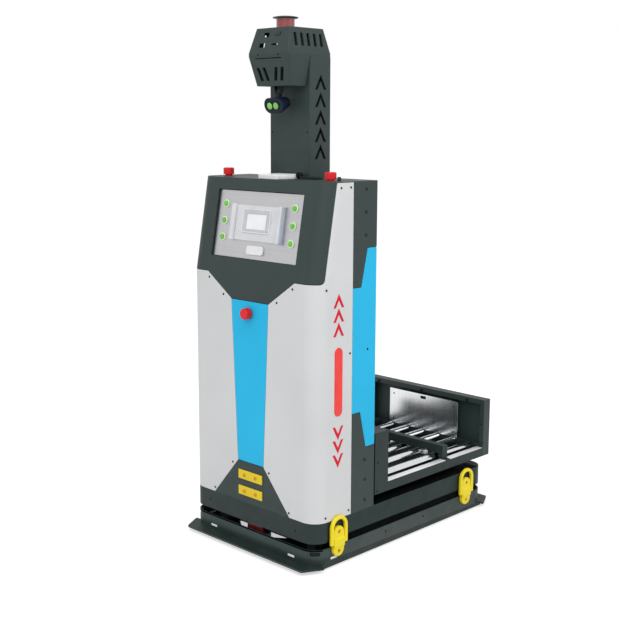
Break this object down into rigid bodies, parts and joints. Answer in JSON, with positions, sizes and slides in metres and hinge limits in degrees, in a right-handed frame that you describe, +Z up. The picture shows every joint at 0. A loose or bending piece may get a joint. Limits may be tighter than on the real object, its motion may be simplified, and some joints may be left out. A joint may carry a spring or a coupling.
{
  "type": "automated guided vehicle",
  "caption": "Automated guided vehicle with a tall control cabinet, leaning operator panel, sensor mast and low powered-roller deck, on drive wheels and swivel casters.",
  "frame": {"origin": "on the floor, under the middle of the floor plate", "axes": "+Z up, the operator panel faces -Y, the roller deck lies towards +Y, +X across"},
  "size_m": [0.684, 1.08, 1.9],
  "materials": {
    "dark_paint": "fine textured powder coat",
    "pale_paint": "satin powder coat",
    "blue_paint": "satin paint",
    "red_lens": "translucent diffuser",
    "panel_steel": "brushed",
    "silver_plastic": "satin",
    "screen_glass": "display glass",
    "ring_plastic": "gloss",
    "black_plastic": "satin",
    "stop_red": "gloss",
    "scanner_window": "smoked red window",
    "white_plastic": "satin",
    "camera_plastic": "satin",
    "contact_brass": "polished",
    "yellow_paint": "gloss paint",
    "tyre_rubber": "moulded",
    "zinc_steel": "bright zinc",
    "mirror_steel": "polished",
    "cast_alloy": "as cast",
    "button_green": "gloss"
  },
  "bodies": {
    "vehicle": {"battery_pack": "black_plastic", "blue_panels": "blue_paint", "button_rings": "ring_plastic", "cabinet_carcass": "dark_paint", "card_reader": "silver_plastic", "charge_contacts": "contact_brass", "cladding_left": "pale_paint", "cladding_right": "pale_paint", "control_hood": "dark_paint", "control_plate": "panel_steel", "conveyor_frame": "dark_paint", "drive_controller": "cast_alloy", "drive_motors": "cast_alloy", "front_stripe": "blue_paint", "head_shell": "dark_paint", "hmi_housing": "silver_plastic", "hmi_screen": "screen_glass", "lane_divider": "dark_paint", "light_bars": "red_lens", "lower_chassis": "dark_paint", "lower_front_cover": "dark_paint", "lug_bases": "yellow_paint", "mast_column": "dark_paint", "nav_cap": "black_plastic", "nav_window": "scanner_window", "panel_grips": "silver_plastic", "polished_plate": "mirror_steel", "radio_unit": "white_plastic", "rear_wall": "dark_paint", "safety_scanner": "scanner_window", "stop_collars": "stop_red", "support_frame": "dark_paint", "upper_chassis": "dark_paint"},
    "drive_wheel_left": {"drive_wheel_left": "tyre_rubber"},
    "drive_wheel_right": {"drive_wheel_right": "tyre_rubber"},
    "caster_fork_left": {"caster_fork_left": "zinc_steel"},
    "caster_wheel_left": {"caster_wheel_left": "tyre_rubber"},
    "caster_fork_right": {"caster_fork_right": "zinc_steel"},
    "caster_wheel_right": {"caster_wheel_right": "tyre_rubber"},
    "roller_1": {"roller_1": "zinc_steel"},
    "roller_2": {"roller_2": "zinc_steel"},
    "roller_3": {"roller_3": "zinc_steel"},
    "roller_4": {"roller_4": "zinc_steel"},
    "roller_5": {"roller_5": "zinc_steel"},
    "roller_6": {"roller_6": "zinc_steel"},
    "roller_7": {"roller_7": "zinc_steel"},
    "push_button_1": {"push_button_1": "button_green"},
    "push_button_2": {"push_button_2": "button_green"},
    "push_button_3": {"push_button_3": "button_green"},
    "push_button_4": {"push_button_4": "button_green"},
    "push_button_5": {"push_button_5": "button_green"},
    "push_button_6": {"push_button_6": "button_green"},
    "emergency_stop_front": {"emergency_stop_front": "stop_red"},
    "emergency_stop_left": {"emergency_stop_left": "stop_red"},
    "emergency_stop_right": {"emergency_stop_right": "stop_red"},
    "lift_ring_front_left": {"lift_ring_front_left": "yellow_paint"},
    "lift_ring_front_right": {"lift_ring_front_right": "yellow_paint"},
    "lift_ring_rear_left": {"lift_ring_rear_left": "yellow_paint"},
    "lift_ring_rear_right": {"lift_ring_rear_right": "yellow_paint"},
    "twin_camera": {"twin_camera": "camera_plastic"}
  },
  "joints": [
    {"name": "drive_left_spin", "type": "hinge", "parent": "vehicle", "child": "drive_wheel_left", "pos_m": [-0.262, -0.26, 0.075], "axis": [1, 0, 0], "continuous": true},
    {"name": "drive_right_spin", "type": "hinge", "parent": "vehicle", "child": "drive_wheel_right", "pos_m": [0.262, -0.26, 0.075], "axis": [1, 0, 0], "continuous": true},
    {"name": "caster_left_swivel", "type": "hinge", "parent": "vehicle", "child": "caster_fork_left", "pos_m": [-0.224, 0.392, 0.117], "axis": [0, 0, 1], "continuous": true},
    {"name": "caster_left_roll", "type": "hinge", "parent": "caster_fork_left", "child": "caster_wheel_left", "pos_m": [-0.224, 0.422, 0.05], "axis": [1, 0, 0], "continuous": true},
    {"name": "caster_right_swivel", "type": "hinge", "parent": "vehicle", "child": "caster_fork_right", "pos_m": [0.224, 0.392, 0.117], "axis": [0, 0, 1], "continuous": true},
    {"name": "caster_right_roll", "type": "hinge", "parent": "caster_fork_right", "child": "caster_wheel_right", "pos_m": [0.224, 0.422, 0.05], "axis": [1, 0, 0], "continuous": true},
    {"name": "roller_1_spin", "type": "hinge", "parent": "vehicle", "child": "roller_1", "pos_m": [-0.249, 0.2035, 0.239], "axis": [0, 1, 0], "continuous": true},
    {"name": "roller_2_spin", "type": "hinge", "parent": "vehicle", "child": "roller_2", "pos_m": [-0.166, 0.2035, 0.239], "axis": [0, 1, 0], "continuous": true},
    {"name": "roller_3_spin", "type": "hinge", "parent": "vehicle", "child": "roller_3", "pos_m": [-0.083, 0.2035, 0.239], "axis": [0, 1, 0], "continuous": true},
    {"name": "roller_4_spin", "type": "hinge", "parent": "vehicle", "child": "roller_4", "pos_m": [0, 0.2035, 0.239], "axis": [0, 1, 0], "continuous": true},
    {"name": "roller_5_spin", "type": "hinge", "parent": "vehicle", "child": "roller_5", "pos_m": [0.083, 0.2035, 0.239], "axis": [0, 1, 0], "continuous": true},
    {"name": "roller_6_spin", "type": "hinge", "parent": "vehicle", "child": "roller_6", "pos_m": [0.166, 0.2035, 0.239], "axis": [0, 1, 0], "continuous": true},
    {"name": "roller_7_spin", "type": "hinge", "parent": "vehicle", "child": "roller_7", "pos_m": [0.249, 0.2035, 0.239], "axis": [0, 1, 0], "continuous": true},
    {"name": "push_button_1_press", "type": "slide", "parent": "vehicle", "child": "push_button_1", "axis": [0, 0.9844, -0.1758], "range_m": [0, 0.003], "stiffness_N_per_m": 600},
    {"name": "push_button_2_press", "type": "slide", "parent": "vehicle", "child": "push_button_2", "axis": [0, 0.9844, -0.1758], "range_m": [0, 0.003], "stiffness_N_per_m": 600},
    {"name": "push_button_3_press", "type": "slide", "parent": "vehicle", "child": "push_button_3", "axis": [0, 0.9844, -0.1758], "range_m": [0, 0.003], "stiffness_N_per_m": 600},
    {"name": "push_button_4_press", "type": "slide", "parent": "vehicle", "child": "push_button_4", "axis": [0, 0.9844, -0.1758], "range_m": [0, 0.003], "stiffness_N_per_m": 600},
    {"name": "push_button_5_press", "type": "slide", "parent": "vehicle", "child": "push_button_5", "axis": [0, 0.9844, -0.1758], "range_m": [0, 0.003], "stiffness_N_per_m": 600},
    {"name": "push_button_6_press", "type": "slide", "parent": "vehicle", "child": "push_button_6", "axis": [0, 0.9844, -0.1758], "range_m": [0, 0.003], "stiffness_N_per_m": 600},
    {"name": "emergency_stop_front_press", "type": "slide", "parent": "vehicle", "child": "emergency_stop_front", "axis": [0, 1, 0], "range_m": [0, 0.005], "stiffness_N_per_m": 2500},
    {"name": "emergency_stop_left_press", "type": "slide", "parent": "vehicle", "child": "emergency_stop_left", "axis": [0, 0, -1], "range_m": [0, 0.005], "stiffness_N_per_m": 2500},
    {"name": "emergency_stop_right_press", "type": "slide", "parent": "vehicle", "child": "emergency_stop_right", "axis": [0, 0, -1], "range_m": [0, 0.005], "stiffness_N_per_m": 2500},
    {"name": "lift_ring_front_left_fold", "type": "hinge", "parent": "vehicle", "child": "lift_ring_front_left", "pos_m": [-0.334, -0.382, 0.09], "axis": [0, -1, 0], "range_deg": [0, 150]},
    {"name": "lift_ring_front_right_fold", "type": "hinge", "parent": "vehicle", "child": "lift_ring_front_right", "pos_m": [0.334, -0.382, 0.09], "axis": [0, 1, 0], "range_deg": [0, 150]},
    {"name": "lift_ring_rear_left_fold", "type": "hinge", "parent": "vehicle", "child": "lift_ring_rear_left", "pos_m": [-0.334, 0.358, 0.09], "axis": [0, -1, 0], "range_deg": [0, 150]},
    {"name": "lift_ring_rear_right_fold", "type": "hinge", "parent": "vehicle", "child": "lift_ring_rear_right", "pos_m": [0.334, 0.358, 0.09], "axis": [0, 1, 0], "range_deg": [0, 150]},
    {"name": "camera_tilt", "type": "hinge", "parent": "vehicle", "child": "twin_camera", "pos_m": [0, -0.347, 1.644], "axis": [1, 0, 0], "range_deg": [-30, 10]}
  ],
  "couplings": [
    {"joint": "roller_2_spin", "follows": "roller_1_spin", "ratio": 1},
    {"joint": "roller_3_spin", "follows": "roller_1_spin", "ratio": 1},
    {"joint": "roller_4_spin", "follows": "roller_1_spin", "ratio": 1},
    {"joint": "roller_5_spin", "follows": "roller_1_spin", "ratio": 1},
    {"joint": "roller_6_spin", "follows": "roller_1_spin", "ratio": 1},
    {"joint": "roller_7_spin", "follows": "roller_1_spin", "ratio": 1}
  ]
}
